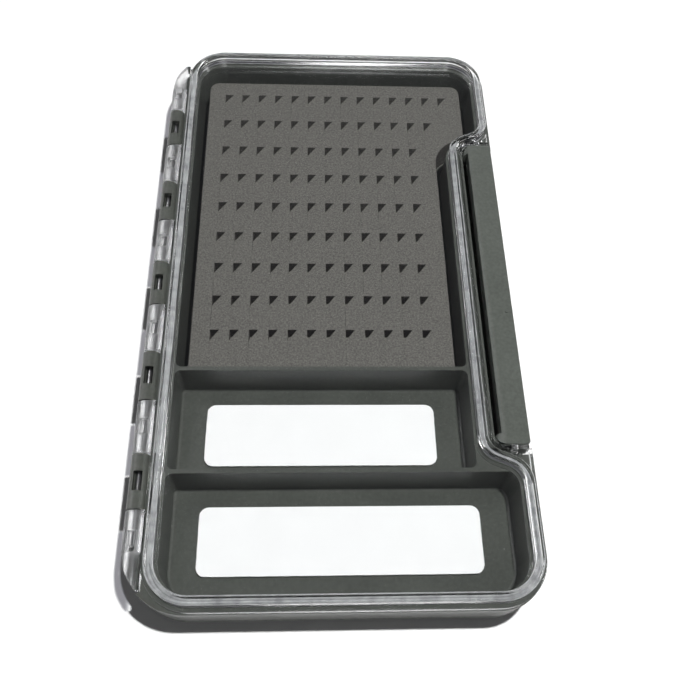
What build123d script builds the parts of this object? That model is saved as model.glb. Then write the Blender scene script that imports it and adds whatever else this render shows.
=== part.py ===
from build123d import *
import math
import os

# Fly box: a clear hinged lid over a moulded tray with a foam bay and two compartments.
# Millimetres, +Z up. The origin is at the middle of the box's footprint, on its underside.
# The hinge runs along Y on the -X side, and the latch lies along the +X side.

os.makedirs("parts", exist_ok=True)

# ---------------------------------------------------------------- overall sizes
box_length = 192.0  # along Y
box_width = 108.7  # along X, with the hinge barrel
box_height = 20.0
tray_height = 14.5  # height of the tray's rim
tray_corner_radius = 13.0  # on the latch side
tray_hinge_corner_radius = 17.0

# ---------------------------------------------------------------- hinge
knuckle_radius = 2.5
hinge_pin_radius = 1.0
hinge_pin_clearance = 0.05
knuckle_count = 11  # six on the lid, five on the tray
hinge_end_margin = 15.25  # from the box's end to the end knuckle
knuckle_gap = 0.4
end_knuckle_length = 11.0
end_knuckle_wall = 1.6  # closed end of the far knuckle
pin_end_setback = 1.6  # at the open, near end
pin_end_gap = 0.8  # at the closed, far end
pin_end_round = 0.6
sight_window_width = 2.4
lid_window_length = 4.6
tray_window_length = 5.4
hinge_clearance = 0.3
hinge_flange_inset = 0.3  # from the tray's outline, at the hinge's ends

# ---------------------------------------------------------------- lid
lid_inset = 0.15  # lid edge inside the tray's outline
lid_gap = 0.2  # height of the gap between lid and tray rim
flange_width = 2.4  # from the seal line to the lid's outer edge
flange_top = 17.0
flange_edge_radius = 0.4
bead_width = 2.5
bead_edge_radius = 0.7
window_thickness = 2.0
guard_wall = 0.6  # thin wall that stands between the bead and the latch
guard_gap = 1.0  # between it and the bead
guard_top = 19.8
groove_width = 1.9
groove_top = 17.1
seal_side_clearance = 0.1
seal_top_clearance = 0.05
ridge_width = 1.0
ridge_height = 0.8
seal_corner_radius = 10.5

# ---------------------------------------------------------------- step of the rim beside the latch
latch_recess = 11.2  # how far the seal line steps in
recess_end_distance = 41.4  # from the box's end
recess_step = 4.6  # along Y, between the step's two bends
recess_inner_bend = 6.0
recess_outer_bend = 7.0

# ---------------------------------------------------------------- tray
floor_thickness = 2.0
pocket_inset = 1.75  # from the seal line to the pockets' edge
pocket_draft = 2.5  # degrees
pocket_floor_radius = 1.0
pocket_corner_radius = 1.7
rib_width = 1.2  # at the top
near_bay_length = 32.1  # at the rim
middle_bay_length = 29.6
tray_edge_radius = 3.0
rim_band_height = 2.2
rim_band_step = 0.5
hinge_channel_drop = 0.4  # below the knuckles
channel_end_margin = 5.5
core_wall = 2.2
core_rib_width = 1.6

# ---------------------------------------------------------------- latch
latch_end_gap = 1.3  # to the end of its recess
latch_edge_inset = 1.2  # outer face inside the tray's outline
latch_top_thickness = 1.6
latch_wall = 1.4
latch_bottom = 4.4
latch_slot_depth = 1.3
latch_slot_end = 3.3  # from the latch's end
latch_inner_gap = 0.9  # to the lid beside it
latch_inner_leg = 4.4  # height of the leg along its inner edge
latch_corner_radius = 3.0
latch_inner_radius = 3.0
latch_outer_radius = 1.2
latch_end_radius = 0.8
latch_block_length = 6.4  # solid ends that hold the pins
latch_block_depth = 6.4
latch_web_count = 9
latch_web_width = 1.2
latch_end_clearance = 0.25
pivot_inset = 5.2  # from the tray's outline
pivot_height = 16.6
latch_pin_radius = 1.0
latch_pin_clearance = 0.05  # in the latch
ear_hole_clearance = 0.02
latch_pin_reach = 5.5  # into the latch
latch_pin_end_gap = 0.2
latch_pin_chamfer = 0.2
ear_width = 1.2
ear_top = 19.6
ear_setback = 1.55  # from the lid's outer edge
pip_radius = 0.6  # moulding pip on the latch
pip_height = 0.25
pip_from_edge = 1.6
pip_y = -11.5
bead_tip_gap = 0.1  # between the latch's bead and the catch lip
latch_bead_depth = 0.5
latch_bead_height = 1.2
lip_reach = 0.6
lip_height = 1.2
lip_bead_gap = 0.4
latch_shelf_height = 8.0
gusset_plate = 1.2
gusset_wall = 0.9
gusset_seal_offset = 2.0  # of the pocket, from the seal line
gusset_web_offset = 1.35  # from the latch's pivot

# ---------------------------------------------------------------- inserts
foam_height = 10.0
foam_inset = 4.7  # from the seal line, beside the latch
foam_side_inset = 5.4  # beyond the latch
foam_hinge_inset = 4.9
foam_far_inset = 6.7
foam_rib_gap = 0.1  # to the foot of the rib
foam_foot_chamfer = 0.5  # clears the fillet along the rib
foam_film_inset = 1.2  # from the foam's edge at the rib
foam_far_corner_radius = 3.2
foam_near_corner_radius = 0.6
adhesive_thickness = 0.2
sheet_thickness = 0.9
sheet_corner_radius = 2.6
sheet_margins = {  # to the bay's hinge, latch, far and near edges
    "middle": (8.4, 8.9, 5.7, 5.0),
    "near": (8.05, 9.45, 5.8, 7.4),
}
slit_pitch = 5.74
slit_row_pitch = 11.88
slit_left_margin = 5.6  # from the foam's hinge-side edge
slit_right_margin = 5.0  # least foam left beside a row
slit_far_margin = 5.85  # from the foam's far edge
slit_near_margin = 4.0
slit_short_row = 1  # the second row has one slit less
slit_mouth_width = 2.8
slit_mouth_length = 3.75
slit_mouth_depth = 4.6

# ---------------------------------------------------------------- worked out from the sizes above
half_length = box_length / 2
half_width = box_width / 2
knuckle_pitch = 2 * (half_length - hinge_end_margin - end_knuckle_length) / (knuckle_count - 2)
hinge_x = -half_width + knuckle_radius
hinge_z = tray_height
lid_left = hinge_x + knuckle_radius + hinge_clearance
seal_left = lid_left + flange_width
seal_right = half_width - lid_inset - flange_width
seal_end = half_length - lid_inset - flange_width
recess_x = seal_right - latch_recess
guard_outset = bead_width / 2 + guard_gap + guard_wall
recess_edge = recess_x + guard_outset
lid_bottom = tray_height + lid_gap
recess_half_length = half_length - recess_end_distance
outer_bend_y = recess_half_length + recess_step
knuckle_end = half_length - hinge_end_margin
channel_top = hinge_z - knuckle_radius - hinge_channel_drop
channel_half_length = half_length - channel_end_margin
hinge_flange_half = channel_half_length - hinge_clearance
core_top = channel_top - core_wall
hinge_core_left = -half_width + rim_band_step + core_wall
hinge_core_right = seal_left + pocket_inset - core_wall
hinge_core_x = (hinge_core_left + hinge_core_right) / 2
hinge_core_width = hinge_core_right - hinge_core_left
core_bay_length = 2 * knuckle_pitch - core_rib_width
hinge_core_centres = [index * 2 * knuckle_pitch for index in (-2, -1, 0, 1, 2)]
foam_bottom = floor_thickness + adhesive_thickness
pivot_x = half_width - pivot_inset
latch_outer = half_width - latch_edge_inset
latch_inner_face = latch_outer - latch_wall
lip_x = latch_inner_face - latch_bead_depth - bead_tip_gap
shelf_x = lip_x - lip_reach
latch_inner = recess_edge + latch_inner_gap
latch_half_length = recess_half_length - latch_end_gap
latch_slot_half_length = latch_half_length - latch_slot_end
ear_low = latch_half_length + latch_end_clearance
ear_high = ear_low + ear_width
ear_outer = half_width - lid_inset - ear_setback
latch_top = box_height - pip_height
pip_x = latch_outer - pip_from_edge
pocket_depth = tray_height - floor_thickness
pocket_run = pocket_depth * math.tan(math.radians(pocket_draft))
lip_bottom = latch_bottom + latch_bead_height + lip_bead_gap
latch_core_left = recess_x - pocket_inset + core_wall
latch_core_right = shelf_x - core_wall
latch_core_x = (latch_core_left + latch_core_right) / 2
latch_core_width = latch_core_right - latch_core_left
latch_core_top = latch_shelf_height - core_wall
latch_core_centres = [index * 2 * knuckle_pitch for index in (-1, 0, 1)]
seal_half = groove_width / 2 - seal_side_clearance
seal_low = tray_height + ridge_height + seal_top_clearance
seal_high = groove_top - seal_top_clearance


def seal_outline(shift):
    """The area inside the seal line, grown by shift. Every rim, groove and pocket follows it."""
    corners = [
        (seal_left, -seal_end),
        (seal_right, -seal_end),
        (seal_right, -outer_bend_y),
        (recess_x, -recess_half_length),
        (recess_x, recess_half_length),
        (seal_right, outer_bend_y),
        (seal_right, seal_end),
        (seal_left, seal_end),
    ]
    bends = [
        seal_corner_radius,
        seal_corner_radius,
        recess_outer_bend,
        recess_inner_bend,
        recess_inner_bend,
        recess_outer_bend,
        seal_corner_radius,
        seal_corner_radius,
    ]
    with BuildSketch() as outline:
        with BuildLine():
            FilletPolyline(*corners, radius=bends, close=True)
        make_face()
        if shift:
            offset(amount=shift)
    return outline.sketch


def box_outline(inset):
    """The tray's outer outline, drawn in by inset."""
    with BuildSketch() as outline:
        Rectangle(box_width - 2 * inset, box_length - 2 * inset)
        fillet(outline.vertices().group_by(Axis.X)[-1], radius=tray_corner_radius - inset)
        fillet(outline.vertices().group_by(Axis.X)[0], radius=tray_hinge_corner_radius - inset)
    return outline.sketch


def knuckle_centres(first):
    """Y of every second knuckle, starting from the one with this index."""
    middle = (knuckle_count - 1) / 2
    return [(index - middle) * knuckle_pitch for index in range(first, knuckle_count, 2)]


def knuckle_span(y):
    """Low and high Y of the knuckle whose sight window is centred on y."""
    inner_end = (knuckle_count - 2) * knuckle_pitch / 2
    low = max(y - knuckle_pitch / 2, -knuckle_end)
    high = min(y + knuckle_pitch / 2, knuckle_end)
    if y > inner_end:
        low = inner_end
        high = knuckle_end
    if y < -inner_end:
        low = -knuckle_end
        high = -inner_end
    return low + knuckle_gap / 2, high - knuckle_gap / 2


def band(outer_shift, inner_shift):
    """A closed band that follows the seal line, between two offsets from it."""
    with BuildSketch() as ring:
        add(seal_outline(outer_shift))
        add(seal_outline(inner_shift), mode=Mode.SUBTRACT)
    return ring.sketch


def pocket_area(low_y, high_y, right_x):
    """The mouth of one pocket, with its corners at the ribs rounded."""
    with BuildSketch() as area:
        add(seal_outline(-pocket_inset))
        with Locations((-half_width, low_y)):
            Rectangle(
                right_x + half_width, high_y - low_y, align=(Align.MIN, Align.MIN), mode=Mode.INTERSECT
            )
        rib_corners = area.vertices().filter_by(
            lambda corner: min(abs(corner.Y - low_y), abs(corner.Y - high_y)) < 0.001
        )
        fillet(rib_corners, radius=pocket_corner_radius)
    return area.sketch


near_pocket_low = pocket_inset - seal_end
near_pocket_high = near_pocket_low + near_bay_length
middle_pocket_low = near_pocket_high + rib_width
middle_pocket_high = middle_pocket_low + middle_bay_length
foam_pocket_low = middle_pocket_high + rib_width
recess_pocket_edge = recess_x - pocket_inset
pockets = [
    pocket_area(foam_pocket_low, half_length, half_width),
    pocket_area(middle_pocket_low, middle_pocket_high, recess_pocket_edge),
    pocket_area(-half_length, near_pocket_high, half_width),
]


def gusset_area(side, ear_y, inset):
    """The corner of the lid's outline, drawn in by inset, from one ear outwards."""
    with BuildSketch() as area:
        add(box_outline(lid_inset + inset))
        with Locations((recess_x, side * ear_y)):
            Rectangle(
                half_width,
                outer_bend_y + recess_outer_bend - ear_y,
                align=(Align.MIN, Align.MIN if side > 0 else Align.MAX),
                mode=Mode.INTERSECT,
            )
    return area.sketch


# ---------------------------------------------------------------- tray
with BuildPart() as base_tray:
    with BuildSketch():
        add(box_outline(rim_band_step))
    extrude(amount=tray_height)
    fillet(base_tray.faces().sort_by(Axis.Z)[0].edges(), radius=tray_edge_radius)
    with BuildSketch(Plane.XY.offset(tray_height - rim_band_height)):
        add(box_outline(0))
    extrude(amount=rim_band_height)

    # recess for the latch, above a shelf, with the catch lip along the shelf's side
    with BuildSketch(Plane.XY.offset(latch_shelf_height)):
        with Locations((recess_edge, 0)):
            Rectangle(box_width, 2 * recess_half_length, align=(Align.MIN, Align.CENTER))
    extrude(amount=box_height, mode=Mode.SUBTRACT)
    with BuildSketch():
        with Locations((shelf_x, 0)):
            Rectangle(box_width, 2 * recess_half_length, align=(Align.MIN, Align.CENTER))
    extrude(amount=latch_shelf_height, mode=Mode.SUBTRACT)
    with BuildSketch(Plane.XY.offset(lip_bottom)):
        with Locations((shelf_x, 0)):
            Rectangle(2 * lip_reach, 2 * recess_half_length, align=(Align.CENTER, Align.CENTER))
    extrude(amount=lip_height)

    # channel that the lid's knuckles turn in
    with BuildSketch(Plane.XY.offset(channel_top)):
        with Locations((lid_left, 0)):
            Rectangle(box_width, 2 * channel_half_length, align=(Align.MAX, Align.CENTER))
    extrude(amount=box_height, mode=Mode.SUBTRACT)

    # pockets
    for mouth in pockets:
        with BuildSketch(Plane.XY.offset(tray_height)):
            add(mouth)
        extrude(amount=-pocket_depth, taper=pocket_draft, mode=Mode.SUBTRACT)
    floor_edges = base_tray.edges().filter_by_position(
        Axis.Z, floor_thickness - 0.01, floor_thickness + 0.01
    )
    fillet(floor_edges, radius=pocket_floor_radius)

    # ridge that bears on the seal
    with BuildSketch(Plane.XY.offset(tray_height)):
        add(band(ridge_width / 2, -ridge_width / 2))
    extrude(amount=ridge_height)

    # hinge knuckles on roots that stand in the channel
    for y in knuckle_centres(1):
        low, high = knuckle_span(y)
        with BuildSketch(Plane.XZ.offset(-low)):
            with Locations((hinge_x, hinge_z)):
                Circle(knuckle_radius)
                Rectangle(
                    2 * knuckle_radius, hinge_z - core_top, align=(Align.CENTER, Align.MAX)
                )
        extrude(amount=low - high)
    with BuildSketch(Plane.XZ.offset(half_length)):
        with Locations((hinge_x, hinge_z)):
            Circle(hinge_pin_radius + hinge_pin_clearance)
    extrude(amount=-box_length, mode=Mode.SUBTRACT)
    with BuildSketch(Plane.XY.offset(hinge_z)):
        with Locations(*[(hinge_x, y) for y in knuckle_centres(1)]):
            Rectangle(sight_window_width, tray_window_length)
    extrude(amount=box_height, mode=Mode.SUBTRACT)

    # cored from below where the walls would be thick
    with BuildSketch():
        with Locations(*[(hinge_core_x, y) for y in hinge_core_centres]):
            Rectangle(hinge_core_width, core_bay_length)
    extrude(amount=core_top, mode=Mode.SUBTRACT)
    with BuildSketch():
        with Locations(*[(latch_core_x, y) for y in latch_core_centres]):
            Rectangle(latch_core_width, core_bay_length)
    extrude(amount=latch_core_top, mode=Mode.SUBTRACT)

base_tray.part.label = "base_tray"
export_step(base_tray.part, "parts/base_tray.step")

# ---------------------------------------------------------------- lid
recess_zone_low = recess_x - bead_width

# plate that joins the hinge knuckles to the lid, rounded like them on its outer side
with BuildPart() as hinge_plate:
    with BuildSketch(Plane.XZ.offset(-hinge_flange_half)):
        with Locations((hinge_x, hinge_z)):
            Circle(knuckle_radius)
            Rectangle(
                lid_left + flange_edge_radius - hinge_x,
                knuckle_radius,
                align=(Align.MIN, Align.MIN),
            )
        with Locations((hinge_x, lid_bottom)):
            Rectangle(
                box_width, box_height, align=(Align.CENTER, Align.MIN), mode=Mode.INTERSECT
            )
    extrude(amount=2 * hinge_flange_half)
    with BuildSketch():
        add(box_outline(hinge_flange_inset))
    extrude(amount=box_height, mode=Mode.INTERSECT)

with BuildPart() as lid_cover:
    # flange, with a gusset outside each step of the rim
    with BuildSketch(Plane.XY.offset(lid_bottom)):
        add(seal_outline(flange_width))
        add(gusset_area(1, ear_low, 0))
        add(gusset_area(-1, ear_low, 0))
    extrude(amount=flange_top - lid_bottom)
    outer_edges = lid_cover.faces().sort_by(Axis.Z)[-1].edges().filter_by(
        lambda edge: edge.center().X < recess_x or abs(edge.center().Y) > ear_low + guard_gap
    )
    fillet(outer_edges, radius=flange_edge_radius)
    for side in (1, -1):
        with BuildSketch(Plane.XY.offset(flange_top)):
            add(gusset_area(side, ear_high, gusset_wall))
            add(seal_outline(gusset_seal_offset), mode=Mode.SUBTRACT)
            with Locations((pivot_x + gusset_web_offset, 0)):
                Rectangle(gusset_wall, box_length, mode=Mode.SUBTRACT)
        extrude(amount=lid_bottom + gusset_plate - flange_top, mode=Mode.SUBTRACT)

    # raised bead
    with BuildSketch(Plane.XY.offset(flange_top)):
        add(band(bead_width / 2, -bead_width / 2))
    extrude(amount=box_height - flange_top)
    fillet(lid_cover.faces().sort_by(Axis.Z)[-1].edges(), radius=bead_edge_radius)

    # thin guard wall beside the latch
    with BuildSketch(Plane.XY.offset(lid_bottom)):
        add(band(guard_outset, guard_outset - guard_wall))
        with Locations((recess_zone_low, 0)):
            Rectangle(
                half_width, 2 * ear_high, align=(Align.MIN, Align.CENTER), mode=Mode.INTERSECT
            )
    extrude(amount=guard_top - lid_bottom)
    with BuildSketch(Plane.XY.offset(lid_bottom)):
        add(band(guard_outset, flange_width - guard_wall))
        with Locations((recess_zone_low, 0)):
            Rectangle(
                half_width, 2 * ear_high, align=(Align.MIN, Align.CENTER), mode=Mode.INTERSECT
            )
    extrude(amount=flange_top - lid_bottom)

    # ears for the latch's pins
    with BuildSketch(Plane.XY.offset(lid_bottom)):
        for ear_y in (ear_high, -ear_low):
            with Locations((ear_outer, ear_y)):
                Rectangle(ear_outer - recess_x, ear_width, align=(Align.MAX, Align.MAX))
        add(seal_outline(guard_outset - guard_wall), mode=Mode.SUBTRACT)
    extrude(amount=ear_top - lid_bottom)

    # window's underside, clear of the ribs
    with BuildSketch(Plane.XY.offset(lid_bottom)):
        add(seal_outline(-groove_width))
    extrude(amount=flange_top - window_thickness - lid_bottom, mode=Mode.SUBTRACT)

    # groove for the seal
    with BuildSketch(Plane.XY.offset(lid_bottom)):
        add(band(groove_width / 2, -groove_width / 2))
    extrude(amount=groove_top - lid_bottom, mode=Mode.SUBTRACT)

    # hinge knuckles
    add(hinge_plate.part)
    for y in knuckle_centres(0):
        low, high = knuckle_span(y)
        with BuildSketch(Plane.XZ.offset(-low)):
            with Locations((hinge_x, hinge_z)):
                Circle(knuckle_radius)
        extrude(amount=low - high)
    for y in knuckle_centres(1):
        with BuildSketch(Plane.XZ.offset(-(y - knuckle_pitch / 2 - knuckle_gap / 2))):
            with Locations((lid_left, 0)):
                Rectangle(box_width, 2 * box_height, align=(Align.MAX, Align.CENTER))
        extrude(amount=-(knuckle_pitch + knuckle_gap), mode=Mode.SUBTRACT)
    with BuildSketch(Plane.XZ.offset(half_length)):
        with Locations((hinge_x, hinge_z)):
            Circle(hinge_pin_radius + hinge_pin_clearance)
    extrude(amount=-(half_length + knuckle_end - end_knuckle_wall), mode=Mode.SUBTRACT)
    with BuildSketch(Plane.XY.offset(hinge_z)):
        with Locations(*[(hinge_x, y) for y in knuckle_centres(0)[1:]]):
            Rectangle(sight_window_width, lid_window_length)
        with Locations((hinge_x, -knuckle_end)):
            Rectangle(
                sight_window_width,
                knuckle_centres(0)[0] + lid_window_length / 2 + knuckle_end,
                align=(Align.CENTER, Align.MIN),
            )
    extrude(amount=box_height, mode=Mode.SUBTRACT)

    # holes for the latch's pins
    for side in (1, -1):
        with BuildSketch(Plane.XZ.offset(-side * ear_high)):
            with Locations((pivot_x, pivot_height)):
                Circle(latch_pin_radius + ear_hole_clearance)
        extrude(amount=side * (ear_width + latch_end_clearance), mode=Mode.SUBTRACT)

lid_cover.part.label = "lid_cover"
export_step(lid_cover.part, "parts/lid_cover.step")

# ---------------------------------------------------------------- seal
with BuildPart() as lid_seal:
    with BuildSketch(Plane.XY.offset(seal_low)):
        add(band(seal_half, -seal_half))
    extrude(amount=seal_high - seal_low)

lid_seal.part.label = "lid_seal"
export_step(lid_seal.part, "parts/lid_seal.step")

# ---------------------------------------------------------------- hinge pin
pin_low = -knuckle_end + pin_end_setback
pin_high = knuckle_end - end_knuckle_wall - pin_end_gap
with BuildPart() as hinge_pin:
    with BuildSketch(Plane.XZ.offset(-pin_low)):
        with Locations((hinge_x, hinge_z)):
            Circle(hinge_pin_radius)
    extrude(amount=pin_low - pin_high)
    fillet(hinge_pin.edges().sort_by(Axis.Y)[0], radius=pin_end_round)

hinge_pin.part.label = "hinge_pin"
export_step(hinge_pin.part, "parts/hinge_pin.step")

# ---------------------------------------------------------------- latch
web_spacing = 2 * latch_slot_half_length / (latch_web_count + 1)
latch_leg_bottom = latch_top - latch_inner_leg
latch_cavity_top = latch_top - latch_top_thickness
latch_cavity_left = latch_inner + latch_slot_depth + latch_wall
with BuildPart() as latch_bar:
    # section: a short inner leg, the top, and the outer wall with its bead
    with BuildSketch(Plane.XZ.offset(-latch_half_length)) as section:
        with Locations((latch_inner, latch_top)):
            Rectangle(
                latch_outer - latch_inner, latch_top - latch_bottom, align=(Align.MIN, Align.MAX)
            )
        top_corners = section.vertices().group_by(Axis.Y)[-1].sort_by(Axis.X)
        fillet(top_corners[0], radius=latch_inner_radius)
        fillet(top_corners[-1], radius=latch_outer_radius)
        with Locations((latch_inner_face, latch_leg_bottom)):
            Rectangle(box_width, box_height, align=(Align.MAX, Align.MAX), mode=Mode.SUBTRACT)
        with Locations((latch_inner_face, latch_cavity_top)):
            Rectangle(
                latch_inner_face - latch_cavity_left,
                box_height,
                align=(Align.MAX, Align.MAX),
                mode=Mode.SUBTRACT,
            )
        inside_corner = section.vertices().sort_by_distance((latch_cavity_left, latch_cavity_top))
        fillet(inside_corner[0], radius=latch_inner_radius - latch_wall)
        with Locations((latch_inner_face, latch_bottom)):
            Rectangle(
                2 * latch_bead_depth, latch_bead_height, align=(Align.CENTER, Align.MIN)
            )
    extrude(amount=2 * latch_half_length)

    # webs across the hollow, and a block at each end for the pins
    with BuildSketch(Plane.XY.offset(latch_leg_bottom)):
        with GridLocations(0, web_spacing, 1, latch_web_count):
            with Locations((latch_cavity_left, 0)):
                Rectangle(
                    latch_inner_face - latch_cavity_left,
                    latch_web_width,
                    align=(Align.MIN, Align.CENTER),
                )
    extrude(amount=latch_cavity_top - latch_leg_bottom)
    with BuildSketch(Plane.XY.offset(latch_top - latch_block_depth)):
        for side in (Align.MIN, Align.MAX):
            end_y = -latch_half_length if side == Align.MIN else latch_half_length
            with Locations((latch_cavity_left, end_y)):
                Rectangle(
                    latch_inner_face - latch_cavity_left,
                    latch_block_length,
                    align=(Align.MIN, side),
                )
    extrude(amount=latch_block_depth - latch_top_thickness)

    # plan outline, with the inner corners rounded to pass the lid
    with BuildSketch() as plan:
        with Locations((latch_inner, 0)):
            Rectangle(
                latch_outer - latch_inner, 2 * latch_half_length, align=(Align.MIN, Align.CENTER)
            )
        fillet(plan.vertices().group_by(Axis.X)[0], radius=latch_corner_radius)
        fillet(plan.vertices().group_by(Axis.X)[-1], radius=latch_end_radius)
    extrude(amount=box_height, mode=Mode.INTERSECT)

    # side outline, with the top rounded over at both ends
    with BuildSketch(Plane.YZ) as profile:
        with Locations((0, latch_top)):
            Rectangle(2 * latch_half_length, box_height, align=(Align.CENTER, Align.MAX))
        fillet(profile.vertices().group_by(Axis.Y)[-1], radius=latch_end_radius)
    extrude(amount=half_width, mode=Mode.INTERSECT)

    # finger slot along the inner edge
    with BuildSketch():
        with Locations((latch_inner, 0)):
            Rectangle(2 * latch_slot_depth, 2 * latch_slot_half_length)
    extrude(amount=box_height, mode=Mode.SUBTRACT)

    # holes for the pins
    for end_y in (-latch_half_length, latch_half_length):
        with BuildSketch(Plane.XZ.offset(-end_y)):
            with Locations((pivot_x, pivot_height)):
                Circle(latch_pin_radius + latch_pin_clearance)
        extrude(
            amount=math.copysign(latch_pin_reach + latch_pin_end_gap, end_y),
            mode=Mode.SUBTRACT,
        )
    with BuildSketch(Plane.XY.offset(latch_top - pip_height)):
        with Locations((pip_x, pip_y)):
            Circle(pip_radius)
    extrude(amount=2 * pip_height)

latch_bar.part.label = "latch_bar"
export_step(latch_bar.part, "parts/latch_bar.step")

latch_pin_length = ear_high - latch_half_length + latch_pin_reach


def latch_pin(side):
    """One of the two short pins that the latch turns on."""
    with BuildPart() as pin:
        with BuildSketch(Plane.XZ.offset(-side * ear_high)):
            with Locations((pivot_x, pivot_height)):
                Circle(latch_pin_radius)
        extrude(amount=side * latch_pin_length)
        chamfer(pin.edges(), length=latch_pin_chamfer)
    return pin.part


for name, side in (("latch_pin_far", 1), ("latch_pin_near", -1)):
    piece = latch_pin(side)
    piece.label = name
    export_step(piece, f"parts/{name}.step")

# ---------------------------------------------------------------- foam
foam_low = foam_pocket_low + pocket_run + foam_rib_gap
foam_left = seal_left + foam_hinge_inset
foam_far = seal_end - foam_far_inset
foam_right = seal_right - foam_side_inset
foam_recess_edge = recess_x - foam_inset
foam_step_shift = foam_inset * math.tan(math.atan2(latch_recess, recess_step) / 2)
foam_step_high = outer_bend_y + foam_step_shift


def foam_area(low_y):
    """The foam's outline, down to this Y. It follows the rim's step beside the latch."""
    corners = [
        (foam_left, low_y),
        (foam_recess_edge, low_y),
        (foam_recess_edge, recess_half_length + foam_step_shift),
        (foam_right, foam_step_high),
        (foam_right, foam_far),
        (foam_left, foam_far),
    ]
    bends = [
        foam_near_corner_radius,
        foam_near_corner_radius,
        recess_inner_bend + foam_inset,
        recess_outer_bend - foam_inset,
        foam_far_corner_radius,
        foam_far_corner_radius,
    ]
    with BuildSketch() as area:
        with BuildLine():
            FilletPolyline(*corners, radius=bends, close=True)
        make_face()
    return area.sketch


def slit_count(row, row_y):
    """How many slits fit across the foam in this row."""
    beside_latch = row_y - slit_mouth_length < foam_step_high
    edge = foam_recess_edge if beside_latch else foam_right
    room = edge - slit_right_margin - slit_mouth_width - foam_left - slit_left_margin
    return int(room / slit_pitch) + 1 - (row == slit_short_row)


slit_room = foam_far - slit_far_margin - slit_mouth_length - slit_near_margin - foam_low
slit_rows = int(slit_room / slit_row_pitch) + 1
with BuildPart() as slit_foam:
    with BuildSketch(Plane.XY.offset(foam_bottom)):
        add(foam_area(foam_low))
    extrude(amount=foam_height)
    foot = slit_foam.faces().sort_by(Axis.Z)[0].edges().sort_by(Axis.Y)[0]
    chamfer(foot, length=foam_foot_chamfer)
    for row in range(slit_rows):
        row_y = foam_far - slit_far_margin - row * slit_row_pitch
        with BuildSketch(Plane.XY.offset(foam_bottom + foam_height)):
            for column in range(slit_count(row, row_y)):
                column_x = foam_left + slit_left_margin + column * slit_pitch
                with Locations((column_x, row_y)):
                    Polygon(
                        (0, 0),
                        (0, -slit_mouth_length),
                        (slit_mouth_width, 0),
                        align=None,
                    )
        extrude(amount=-slit_mouth_depth, mode=Mode.SUBTRACT)

slit_foam.part.label = "slit_foam"
export_step(slit_foam.part, "parts/slit_foam.step")

with BuildPart() as foam_adhesive:
    with BuildSketch(Plane.XY.offset(floor_thickness)):
        add(foam_area(foam_low + foam_film_inset))
    extrude(amount=adhesive_thickness)

foam_adhesive.part.label = "foam_adhesive"
export_step(foam_adhesive.part, "parts/foam_adhesive.step")

# ---------------------------------------------------------------- magnetic sheets
bay_left = seal_left + pocket_inset
bay_edges = {  # latch, far and near edges of each compartment
    "middle": (recess_pocket_edge, middle_pocket_high, middle_pocket_low),
    "near": (seal_right - pocket_inset, near_pocket_high, near_pocket_low),
}


def sheet_layer(place, low_z, thickness):
    """One flat layer on a compartment's floor."""
    bay_right, bay_far, bay_near = bay_edges[place]
    left_margin, right_margin, far_margin, near_margin = sheet_margins[place]
    with BuildPart() as layer:
        with BuildSketch(Plane.XY.offset(low_z)) as area:
            with Locations((bay_left + left_margin, bay_near + near_margin)):
                Rectangle(
                    bay_right - right_margin - bay_left - left_margin,
                    bay_far - far_margin - bay_near - near_margin,
                    align=(Align.MIN, Align.MIN),
                )
            fillet(area.vertices(), radius=sheet_corner_radius)
        extrude(amount=thickness)
    return layer.part


for place in sheet_margins:
    film = sheet_layer(place, floor_thickness, adhesive_thickness)
    film.label = f"sheet_adhesive_{place}"
    export_step(film, f"parts/sheet_adhesive_{place}.step")
    sheet = sheet_layer(place, floor_thickness + adhesive_thickness, sheet_thickness)
    sheet.label = f"magnet_sheet_{place}"
    export_step(sheet, f"parts/magnet_sheet_{place}.step")
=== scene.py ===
import math

import bmesh
import bpy
from mathutils import Matrix, Vector


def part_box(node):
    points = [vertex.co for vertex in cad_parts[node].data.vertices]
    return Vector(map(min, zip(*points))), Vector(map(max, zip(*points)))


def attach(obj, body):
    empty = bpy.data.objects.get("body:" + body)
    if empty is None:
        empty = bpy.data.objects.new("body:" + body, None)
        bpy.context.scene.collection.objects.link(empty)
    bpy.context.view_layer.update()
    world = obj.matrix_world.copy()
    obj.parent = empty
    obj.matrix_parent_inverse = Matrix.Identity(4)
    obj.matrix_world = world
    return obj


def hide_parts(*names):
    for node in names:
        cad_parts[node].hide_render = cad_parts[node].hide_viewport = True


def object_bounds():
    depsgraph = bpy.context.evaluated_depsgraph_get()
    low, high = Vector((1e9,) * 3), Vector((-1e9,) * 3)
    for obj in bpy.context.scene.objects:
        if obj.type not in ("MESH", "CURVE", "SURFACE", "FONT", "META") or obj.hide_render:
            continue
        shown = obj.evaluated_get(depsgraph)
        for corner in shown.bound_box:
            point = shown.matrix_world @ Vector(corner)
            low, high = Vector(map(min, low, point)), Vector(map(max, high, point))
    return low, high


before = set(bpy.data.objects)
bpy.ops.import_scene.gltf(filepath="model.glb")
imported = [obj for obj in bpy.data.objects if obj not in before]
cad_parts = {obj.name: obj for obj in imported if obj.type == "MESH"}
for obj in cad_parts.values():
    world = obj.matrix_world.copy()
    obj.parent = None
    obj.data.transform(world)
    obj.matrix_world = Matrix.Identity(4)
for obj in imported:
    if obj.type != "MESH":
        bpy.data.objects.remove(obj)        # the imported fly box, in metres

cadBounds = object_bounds()
mm = 0.001
print("frame loaded:", len(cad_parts), "nodes")


# ---- small helpers for node trees

def addNode(tree, kind, values=None, **settings):
    node = tree.nodes.new(kind)
    for key, value in settings.items():
        setattr(node, key, value)
    for socket, value in (values or {}).items():
        node.inputs[socket].default_value = value
    return node


def join(tree, source, output, target, entry):
    tree.links.new(source.outputs[output], target.inputs[entry])


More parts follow.
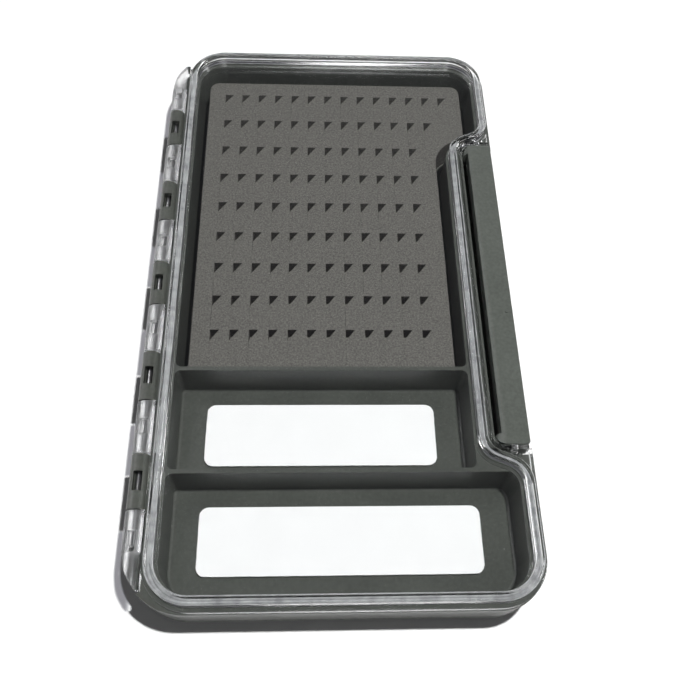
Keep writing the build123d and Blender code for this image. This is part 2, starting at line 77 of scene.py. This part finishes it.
def startMaterial(name, shaderValues):
    material = bpy.data.materials.new(name)
    material.use_nodes = True
    tree = material.node_tree
    shader = tree.nodes["Principled BSDF"]
    for socket, value in shaderValues.items():
        shader.inputs[socket].default_value = value
    place = addNode(tree, "ShaderNodeTexCoord")
    return material, tree, shader, place


def shades(tree, source, output, darker, lighter, low=0.3, high=0.7):
    ramp = addNode(tree, "ShaderNodeValToRGB")
    ramp.color_ramp.elements[0].position = low
    ramp.color_ramp.elements[0].color = (*darker, 1)
    ramp.color_ramp.elements[1].position = high
    ramp.color_ramp.elements[1].color = (*lighter, 1)
    join(tree, source, output, ramp, "Fac")
    return ramp


def noise(tree, place, perMetre, detail=3.0, rough=0.55, stretch=None):
    texture = addNode(tree, "ShaderNodeTexNoise", {
        "Scale": perMetre, "Detail": detail, "Roughness": rough,
    })
    if stretch:
        mapping = addNode(tree, "ShaderNodeMapping", {"Scale": stretch})
        join(tree, place, "Object", mapping, "Vector")
        join(tree, mapping, "Vector", texture, "Vector")
    else:
        join(tree, place, "Object", texture, "Vector")
    return texture


def emboss(tree, source, output, shader, strength, height):
    bump = addNode(tree, "ShaderNodeBump", {"Strength": strength, "Distance": height})
    join(tree, source, output, bump, "Height")
    join(tree, bump, "Normal", shader, "Normal")


def dress(material, *names):
    for name in names:
        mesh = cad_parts[name].data
        mesh.materials.clear()
        mesh.materials.append(material)


# ---- small helpers for objects made of stacked outlines

def addObject(name, data):
    holder = bpy.data.objects.new(name, data)
    bpy.context.collection.objects.link(holder)
    return holder


def meshObject(name, bm):
    bmesh.ops.recalc_face_normals(bm, faces=bm.faces)
    mesh = bpy.data.meshes.new(name)
    bm.to_mesh(mesh)
    bm.free()
    return addObject(name, mesh)


def roundedOutline(corners, radii, steps=10):
    points = []
    count = len(corners)
    for index, corner in enumerate(corners):
        here = Vector(corner)
        back = (Vector(corners[index - 1]) - here).normalized()
        ahead = (Vector(corners[(index + 1) % count]) - here).normalized()
        half = back.angle(ahead) / 2
        radius = radii[index]
        centre = here + (back + ahead).normalized() * radius / math.sin(half)
        start = here + back * radius / math.tan(half) - centre
        end = here + ahead * radius / math.tan(half) - centre
        turn = start.angle_signed(end)
        for step in range(steps + 1):
            points.append(centre + Matrix.Rotation(-turn * step / steps, 2) @ start)
    return points


def ring(bm, points, height):
    return [bm.verts.new((point.x * mm, point.y * mm, height * mm)) for point in points]


def wall(bm, lower, upper):
    for i in range(len(lower)):
        following = (i + 1) % len(lower)
        bm.faces.new((lower[i], lower[following], upper[following], upper[i]))


# ---- moulded plastic of the tray and the latch

trayPlastic = {
    "name": "greyTrayPlastic",
    "darker": (0.056, 0.060, 0.053),
    "lighter": (0.071, 0.076, 0.067),
    "roughness": (0.34, 0.46),
    "grain": 0.12,
}
latchPlastic = {
    "name": "greyLatchPlastic",
    "darker": (0.082, 0.090, 0.080),
    "lighter": (0.094, 0.103, 0.092),
    "roughness": (0.36, 0.46),
    "grain": 0.12,
}
plasticGrain = {
    "mottle": 55.0, "speckle": 1100.0, "fine": 2600.0,   # per metre
    "speckleReach": (0.3, 0.7),
    "speckleShade": (0.86, 1.14),
    "height": 0.02 * mm,
}
dust = {"cells": 230.0, "size": 0.035, "kept": 0.72, "color": (0.30, 0.30, 0.29)}


def mouldedPlastic(look):
    material, tree, shader, place = startMaterial(look["name"], {"IOR": 1.5})
    mottle = noise(tree, place, plasticGrain["mottle"])
    tone = shades(tree, mottle, "Fac", look["darker"], look["lighter"])
    speckle = noise(tree, place, plasticGrain["speckle"], 2.0)
    low, high = plasticGrain["speckleReach"]
    darkest, lightest = plasticGrain["speckleShade"]
    depth = addNode(tree, "ShaderNodeMapRange", {
        "From Min": low, "From Max": high, "To Min": darkest, "To Max": lightest,
    })
    join(tree, speckle, "Fac", depth, "Value")
    varied = addNode(tree, "ShaderNodeVectorMath", operation="SCALE")
    join(tree, tone, "Color", varied, "Vector")
    join(tree, depth, "Result", varied, "Scale")
    # a few grains of dust
    grains = addNode(tree, "ShaderNodeTexVoronoi", {"Scale": dust["cells"]})
    join(tree, place, "Object", grains, "Vector")
    small = addNode(tree, "ShaderNodeMath", {1: dust["size"]}, operation="LESS_THAN")
    join(tree, grains, "Distance", small, 0)
    pick = addNode(tree, "ShaderNodeSeparateColor")
    join(tree, grains, "Color", pick, "Color")
    some = addNode(tree, "ShaderNodeMath", {1: dust["kept"]}, operation="GREATER_THAN")
    join(tree, pick, "Red", some, 0)
    seen = addNode(tree, "ShaderNodeMath", operation="MULTIPLY")
    join(tree, small, "Value", seen, 0)
    join(tree, some, "Value", seen, 1)
    dusty = addNode(tree, "ShaderNodeMix", {"B": (*dust["color"], 1)}, data_type="RGBA")
    join(tree, seen, "Value", dusty, "Factor")
    join(tree, varied, "Vector", dusty, "A")
    join(tree, dusty, "Result", shader, "Base Color")
    # fine grain of the mould, and a slow change in how much it shines
    fine = noise(tree, place, plasticGrain["fine"], 2.0)
    smooth, dull = look["roughness"]
    polish = addNode(tree, "ShaderNodeMapRange", {"To Min": smooth, "To Max": dull})
    join(tree, mottle, "Fac", polish, "Value")
    join(tree, polish, "Result", shader, "Roughness")
    emboss(tree, fine, "Fac", shader, look["grain"], plasticGrain["height"])
    return material


dress(mouldedPlastic(trayPlastic), "base_tray")
dress(mouldedPlastic(latchPlastic), "latch_bar")
print("tray and latch dressed")


# ---- clear lid and its seal

clearLid = {
    "name": "clearLidPlastic",
    "tint": (0.985, 0.99, 0.99, 1),
    "roughness": (0.02, 0.42),   # polished, and frosted over the hinge
    "hingeEdge": -49.55,         # mm along X
    "hingeBlend": 0.3,           # mm to each side of it
    "ior": 1.5,
    "shadowTints": ((0.96, 0.965, 0.965), (0.45, 0.45, 0.47)),
    "streaks": {
        "fine": 4200.0, "detail": 2.0, "rough": 0.6, "stretch": 0.02,
        "strength": 0.35, "depth": 0.012 * mm,
        "turnY": (85.0, 89.0),   # they turn at the two ends, mm
    },
}
sealRubber = {
    "name": "paleSealRubber",
    "darker": (0.24, 0.245, 0.25),
    "lighter": (0.46, 0.465, 0.47),
    "cloud": 400.0,
    "roughness": 0.4,
    "ior": 1.41,
}
sealCord = {
    "name": "siliconeSeal",
    "left": -46.65, "right": 51.8, "end": 93.45,   # the line it follows, mm
    "recessX": 40.6, "recessY": 54.6, "bendY": 59.2,
    "corner": 10.5, "innerBend": 6.0, "outerBend": 7.0,
    # half of its section, from the groove between the upper lips round to the lower ones
    "section": [
        (0.00, 16.62), (0.10, 16.66), (0.20, 16.86), (0.36, 17.03), (0.56, 17.00), (0.74, 16.82),
        (0.80, 16.55), (0.85, 16.25), (0.85, 16.05), (0.70, 15.92), (0.70, 15.75), (0.62, 15.45),
        (0.46, 15.36), (0.28, 15.42), (0.12, 15.62), (0.00, 15.68),
    ],
}


def clearPlastic(look):
    material, tree, shader, place = startMaterial(look["name"], {
        "Base Color": look["tint"], "IOR": look["ior"], "Transmission Weight": 1.0,
    })
    split = addNode(tree, "ShaderNodeSeparateXYZ")
    join(tree, place, "Object", split, "Vector")
    polished, frosted = look["roughness"]
    edge = look["hingeEdge"] * mm
    blend = look["hingeBlend"] * mm
    frost = addNode(tree, "ShaderNodeMapRange", {
        "From Min": edge - blend, "From Max": edge + blend, "To Min": frosted, "To Max": polished,
    })
    join(tree, split, "X", frost, "Value")
    join(tree, frost, "Result", shader, "Roughness")
    # faint drawn lines run along each side of the lid
    streaks = look["streaks"]
    flow = addNode(tree, "ShaderNodeMath", operation="ABSOLUTE")
    join(tree, split, "Y", flow, 0)
    turnStart, turnEnd = streaks["turnY"]
    atEnd = addNode(tree, "ShaderNodeMapRange", {
        "From Min": turnStart * mm, "From Max": turnEnd * mm,
    })
    join(tree, flow, "Value", atEnd, "Value")
    drawn = addNode(tree, "ShaderNodeMix")
    join(tree, atEnd, "Result", drawn, "Factor")
    stretch = streaks["stretch"]
    for entry, scale in (("A", (1.0, stretch, 1.0)), ("B", (stretch, 1.0, 1.0))):
        lines = noise(tree, place, streaks["fine"], streaks["detail"], streaks["rough"], scale)
        join(tree, lines, "Fac", drawn, entry)
    emboss(tree, drawn, "Result", shader, streaks["strength"], streaks["depth"])
    # lamps reach the tray through the lid
    thin, thick = look["shadowTints"]
    shade = addNode(tree, "ShaderNodeMapRange", {
        "From Min": edge - blend, "From Max": edge + blend,
    })
    join(tree, split, "X", shade, "Value")
    cast = shades(tree, shade, "Result", thick, thin, 0.0, 1.0)
    through = addNode(tree, "ShaderNodeBsdfTransparent")
    join(tree, cast, "Color", through, "Color")
    path = addNode(tree, "ShaderNodeLightPath")
    either = addNode(tree, "ShaderNodeMath", operation="MAXIMUM")
    join(tree, path, "Is Shadow Ray", either, 0)
    join(tree, path, "Is Diffuse Ray", either, 1)
    mix = addNode(tree, "ShaderNodeMixShader")
    join(tree, either, "Value", mix, "Fac")
    join(tree, shader, "BSDF", mix, 1)
    join(tree, through, "BSDF", mix, 2)
    join(tree, mix, "Shader", tree.nodes["Material Output"], "Surface")
    return material


def softRubber(look):
    material, tree, shader, place = startMaterial(look["name"], {
        "Roughness": look["roughness"], "IOR": look["ior"],
    })
    cloud = noise(tree, place, look["cloud"])
    tone = shades(tree, cloud, "Fac", look["darker"], look["lighter"])
    join(tree, tone, "Color", shader, "Base Color")
    return material


def sealOutline(look, shift):
    left, right, end = look["left"] - shift, look["right"] + shift, look["end"] + shift
    recessX = look["recessX"] + shift
    # the step's corners slide along it as the outline grows
    slant = math.atan2(look["right"] - look["recessX"], look["bendY"] - look["recessY"])
    slide = shift * math.tan(slant / 2)
    inY, outY = look["recessY"] - slide, look["bendY"] - slide
    corner, outer = look["corner"] + shift, look["outerBend"] + shift
    inner = look["innerBend"] - shift
    corners = [(left, -end), (right, -end), (right, -outY), (recessX, -inY),
               (recessX, inY), (right, outY), (right, end), (left, end)]
    return roundedOutline(corners, [corner, corner, outer, inner, inner, outer, corner, corner])


def makeSeal(look):
    half = look["section"]
    section = half + [(-shift, z) for shift, z in reversed(half[1:-1])]
    bm = bmesh.new()
    rings = [ring(bm, sealOutline(look, shift), z) for shift, z in section]
    for index, loop in enumerate(rings):
        wall(bm, loop, rings[(index + 1) % len(rings)])
    for face in bm.faces:
        face.smooth = True
    return meshObject(look["name"], bm)


dress(clearPlastic(clearLid), "lid_cover")
seal = makeSeal(sealCord)
seal.data.materials.append(softRubber(sealRubber))
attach(seal, "lid")
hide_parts("lid_seal")
print("lid and seal dressed:", len(seal.data.polygons), "seal faces")


# ---- steel pins

pinSteel = {
    "name": "drawnPinSteel",
    "color": (0.50, 0.50, 0.50, 1),
    "roughness": 0.30,
    "lines": 9000.0,
    "stretch": (1.0, 0.02, 1.0),   # the lines run along the wire, which lies along Y
    "strength": 0.1,
    "depth": 0.02 * mm,
}


def drawnSteel(look):
    material, tree, shader, place = startMaterial(look["name"], {
        "Base Color": look["color"], "Metallic": 1.0, "Roughness": look["roughness"],
    })
    lines = noise(tree, place, look["lines"], 2.0, 0.5, look["stretch"])
    emboss(tree, lines, "Fac", shader, look["strength"], look["depth"])
    return material


dress(drawnSteel(pinSteel), "hinge_pin", "latch_pin_far", "latch_pin_near")
print("pins dressed")


# ---- white sheets and the films that hold the inserts

sheetVinyl = {
    "name": "whiteSheetVinyl",
    "darker": (0.93, 0.93, 0.93),
    "lighter": (0.96, 0.96, 0.96),
    "roughness": 0.45,
}
glueFilm = {
    "name": "thinGlueFilm",
    "darker": (0.70, 0.68, 0.60),
    "lighter": (0.78, 0.76, 0.70),
    "roughness": 0.5,
}
layerGrain = {"cloud": 120.0, "fine": 3000.0, "strength": 0.1, "height": 0.02 * mm}


def flatLayer(look):
    material, tree, shader, place = startMaterial(look["name"], {"Roughness": look["roughness"]})
    cloud = noise(tree, place, layerGrain["cloud"])
    tone = shades(tree, cloud, "Fac", look["darker"], look["lighter"])
    join(tree, tone, "Color", shader, "Base Color")
    fine = noise(tree, place, layerGrain["fine"])
    emboss(tree, fine, "Fac", shader, layerGrain["strength"], layerGrain["height"])
    return material


dress(flatLayer(sheetVinyl), "magnet_sheet_middle", "magnet_sheet_near")
dress(flatLayer(glueFilm), "foam_adhesive", "sheet_adhesive_middle", "sheet_adhesive_near")
print("sheets dressed")


# ---- slit foam

foamPad = {
    "name": "slitFoamPad",
    "corner": 3.2,           # far corners, mm
    "nearCorner": 0.6,
    "bends": (10.7, 2.3),    # where the edge steps in beside the latch: inner and outer bend
    "stepY": (57.75, 62.35),
    "stepX": 35.9,
    "foot": 0.5,             # cut off along the lower edge at the rib
    "edge": 0.35,            # rounding of the upper edge
    "edgeSteps": 3,
    "holeDepth": 4.6,
    "holeSize": (2.8, 3.75),
    "pitch": (5.74, 11.88),
    "firstHole": (5.6, 5.85),  # from the far left corner
    "columns": [14, 13] + [12] * 7,
    "cutLength": 7.2,        # of the closed cut below each hole
    "cutWidth": 0.03,
}
foamSkin = {
    "name": "greyFoam",
    "darker": (0.080, 0.077, 0.071),
    "lighter": (0.164, 0.158, 0.145),
    "toneReach": (0.35, 0.65),
    "roughness": 0.9,
    "specular": 0.25,
    "cells": 1900.0,
    "cellDetail": 4.0,
    "cellRough": 0.7,
    "cellStrength": 0.5,
    "cellHeight": 0.10 * mm,
}


def foamOutline(look, low, high, shrink, foot=0):
    left, right = low.x / mm + shrink, high.x / mm - shrink
    near, far = low.y / mm + shrink + foot, high.y / mm - shrink
    stepX = look["stepX"] - shrink
    innerY, outerY = look["stepY"]
    inner, outer = look["bends"]
    corners = [(left, near), (stepX, near), (stepX, innerY),
               (right, outerY), (right, far), (left, far)]
    nearCorner, farCorner = look["nearCorner"] - shrink, look["corner"] - shrink
    radii = [nearCorner, nearCorner, inner + shrink, outer - shrink, farCorner, farCorner]
    return roundedOutline(corners, radii)


def holeOutlines(look, low, high):
    width, length = look["holeSize"]
    pitchX, pitchY = look["pitch"]
    fromLeft, fromFar = look["firstHole"]
    cut = look["cutWidth"]
    outlines = []
    for row, columns in enumerate(look["columns"]):
        for column in range(columns):
            x = low.x / mm + fromLeft + column * pitchX
            y = high.y / mm - fromFar - row * pitchY
            side = length * (1 - cut / width)
            outlines.append([
                Vector((x, y)), Vector((x, y - length - look["cutLength"])),
                Vector((x + cut, y - length - look["cutLength"])), Vector((x + cut, y - side)),
                Vector((x + width, y)),
            ])
    return outlines


def loopEdges(bm, loop):
    return [bm.edges.get((loop[i - 1], loop[i])) for i in range(len(loop))]


def makeFoam(look):
    low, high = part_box("slit_foam")
    bottom, top = low.z / mm, high.z / mm
    bm = bmesh.new()
    edge = look["edge"]
    foot = look["foot"]
    rings = [
        ring(bm, foamOutline(look, low, high, 0, foot), bottom),
        ring(bm, foamOutline(look, low, high, 0), bottom + foot),
    ]
    for step in range(look["edgeSteps"] + 1):
        angle = math.pi / 2 * step / look["edgeSteps"]
        shrink = edge * (1 - math.cos(angle))
        height = top - edge * (1 - math.sin(angle))
        rings.append(ring(bm, foamOutline(look, low, high, shrink), height))
    for lower, upper in zip(rings, rings[1:]):
        wall(bm, lower, upper)
    bm.faces.new(list(reversed(rings[0])))
    topEdges = loopEdges(bm, rings[-1])
    for outline in holeOutlines(look, low, high):
        mouth = ring(bm, outline, top)
        floor = ring(bm, outline, top - look["holeDepth"])
        wall(bm, mouth, floor)
        bm.faces.new(floor)
        topEdges += loopEdges(bm, mouth)
    bmesh.ops.triangle_fill(bm, edges=topEdges, use_beauty=True, use_dissolve=False)
    return meshObject(look["name"], bm)


def foamMaterial(look):
    material, tree, shader, place = startMaterial(look["name"], {
        "Roughness": look["roughness"], "Specular IOR Level": look["specular"],
    })
    cells = noise(tree, place, look["cells"], look["cellDetail"], look["cellRough"])
    tone = shades(tree, cells, "Fac", look["darker"], look["lighter"], *look["toneReach"])
    join(tree, tone, "Color", shader, "Base Color")
    emboss(tree, cells, "Fac", shader, look["cellStrength"], look["cellHeight"])
    return material


foam = makeFoam(foamPad)
foam.data.materials.append(foamMaterial(foamSkin))
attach(foam, "base")
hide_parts("slit_foam")
print("foam made:", len(foam.data.polygons), "faces")


# ---- floor, light and camera

studio = {
    "floorSize": 60.0,
    "floorGap": 0.2 * mm,    # below the box
    "floorColor": (0.92, 0.92, 0.92, 1),
    "floorRoughness": 0.9,
    "floorGlow": (0.02, 1.0),    # beside the box and further out
    "glowReach": (0.28, 1.10),   # metres from the box
    "ambient": 0.275,            # share of the sky that lights the box
    "horizon": (1.0, 1.0, 1.0),
    "zenith": (0.08, 0.08, 0.09),
    "horizonEdge": (0.10, 0.36),
}
keyLamp = {"name": "keyLamp", "place": (0.107, -0.034, 0.52), "radius": 0.012, "watts": 48.5}
lamps = {
    "leftSoftbox": {"place": (-0.95, 0.10, 0.55), "size": (0.5, 0.5), "watts": 4.0},
    "rightSoftbox": {"place": (0.85, -0.10, 0.60), "size": (0.35, 0.35), "watts": 3.0},
    "frontSoftbox": {"place": (0.1, -1.0, 0.80), "size": (0.4, 0.4), "watts": 1.2},
    "backSoftbox": {"place": (0.1, 1.45, 0.90), "size": (0.5, 0.5), "watts": 1.8},
    "stripLamp": {"place": (-0.55, 0.62, 1.0), "size": (0.10, 0.90), "watts": 2.0},
}
viewpoint = {
    "place": (-6.79, -133.98, 221.31),   # mm
    "pitch": 1.07133,                    # radians below the horizon
    "yaw": 0.10538,
    "roll": 0.09422,
    "focalPixels": 806.83,
    "pictureWidth": 700,
    "sensor": 36.0,
    "clipStart": 0.01,
}


def makeFloor(look):
    half = look["floorSize"] / 2
    mesh = bpy.data.meshes.new("floor")
    corners = [(-half, -half, 0), (half, -half, 0), (half, half, 0), (-half, half, 0)]
    mesh.from_pydata(corners, [], [(0, 1, 2, 3)])
    floor = addObject("floor", mesh)
    floor.location.z = cadBounds[0][2] - look["floorGap"]
    material, tree, shader, place = startMaterial("paleFloor", {
        "Base Color": look["floorColor"], "Roughness": look["floorRoughness"],
        "Specular IOR Level": 0.0,
    })
    glow = addNode(tree, "ShaderNodeEmission", {"Color": (1, 1, 1, 1)})
    path = addNode(tree, "ShaderNodeLightPath")
    seen = addNode(tree, "ShaderNodeMath", operation="ADD", use_clamp=True)
    join(tree, path, "Is Camera Ray", seen, 0)
    join(tree, path, "Is Glossy Ray", seen, 1)
    seenThrough = addNode(tree, "ShaderNodeMath", operation="ADD", use_clamp=True)
    join(tree, seen, "Value", seenThrough, 0)
    join(tree, path, "Is Transmission Ray", seenThrough, 1)
    # the floor glows where the key lamp's light thins out
    far = addNode(tree, "ShaderNodeVectorMath", operation="LENGTH")
    join(tree, place, "Object", far, "Vector")
    nearest, furthest = look["glowReach"]
    low, high = look["floorGlow"]
    reach = addNode(tree, "ShaderNodeMapRange", {
        "From Min": nearest, "From Max": furthest, "To Min": low, "To Max": high,
    }, interpolation_type="SMOOTHSTEP")
    join(tree, far, "Value", reach, "Value")
    strength = addNode(tree, "ShaderNodeMath", operation="MULTIPLY")
    join(tree, seenThrough, "Value", strength, 0)
    join(tree, reach, "Result", strength, 1)
    join(tree, strength, "Value", glow, "Strength")
    both = addNode(tree, "ShaderNodeAddShader")
    join(tree, shader, "BSDF", both, 0)
    join(tree, glow, "Emission", both, 1)
    join(tree, both, "Shader", tree.nodes["Material Output"], "Surface")
    mesh.materials.append(material)


def makeWorld(look):
    world = bpy.data.worlds.new("studioWorld")
    bpy.context.scene.world = world
    world.use_nodes = True
    tree = world.node_tree
    place = addNode(tree, "ShaderNodeTexCoord")
    split = addNode(tree, "ShaderNodeSeparateXYZ")
    join(tree, place, "Generated", split, "Vector")
    sky = shades(tree, split, "Z", look["horizon"], look["zenith"], *look["horizonEdge"])
    background = tree.nodes["Background"]
    join(tree, sky, "Color", background, "Color")
    path = addNode(tree, "ShaderNodeLightPath")
    # full strength where it is seen, and less where it lights the box
    level = addNode(tree, "ShaderNodeMapRange", {"To Min": 1.0, "To Max": look["ambient"]})
    join(tree, path, "Is Diffuse Ray", level, "Value")
    join(tree, level, "Result", background, "Strength")


def makeKey(look):
    light = bpy.data.lights.new(look["name"], "POINT")
    light.shadow_soft_size = look["radius"]
    light.energy = look["watts"]
    # its light doesn't fall off, so the floor stays bright further out
    light.use_nodes = True
    tree = light.node_tree
    falloff = addNode(tree, "ShaderNodeLightFalloff", {"Strength": 1.0})
    join(tree, falloff, "Constant", tree.nodes["Emission"], "Strength")
    holder = addObject(look["name"], light)
    holder.location = look["place"]
    # the softboxes give the gloss, and the lid shows no spot of light
    holder.visible_glossy = False
    holder.visible_transmission = False


def makeLamp(name, look):
    light = bpy.data.lights.new(name, "AREA")
    light.shape = "ELLIPSE"
    light.size, light.size_y = look["size"]
    light.energy = look["watts"]
    holder = addObject(name, light)
    holder.visible_diffuse = False
    holder.location = look["place"]
    holder.rotation_euler = (-Vector(look["place"])).to_track_quat("-Z", "Y").to_euler()


def makeCamera(look):
    pitch, yaw, roll = look["pitch"], look["yaw"], look["roll"]
    level = math.cos(pitch)
    ahead = Vector((math.sin(yaw) * level, math.cos(yaw) * level, -math.sin(pitch)))
    side = Vector((math.cos(yaw), -math.sin(yaw), 0))
    above = side.cross(ahead)
    right = side * math.cos(roll) + above * math.sin(roll)
    up = above * math.cos(roll) - side * math.sin(roll)
    lens = bpy.data.cameras.new("camera")
    lens.sensor_width = look["sensor"]
    lens.lens = look["focalPixels"] / look["pictureWidth"] * look["sensor"]
    lens.clip_start = look["clipStart"]
    holder = addObject("camera", lens)
    turn = Matrix((right, up, -ahead)).transposed().to_4x4()
    holder.matrix_world = Matrix.Translation(Vector(look["place"]) * mm) @ turn
    bpy.context.scene.camera = holder


makeFloor(studio)
makeWorld(studio)
makeKey(keyLamp)
for name, look in lamps.items():
    makeLamp(name, look)
makeCamera(viewpoint)
bpy.context.scene.view_settings.view_transform = "Standard"
print("stage set")
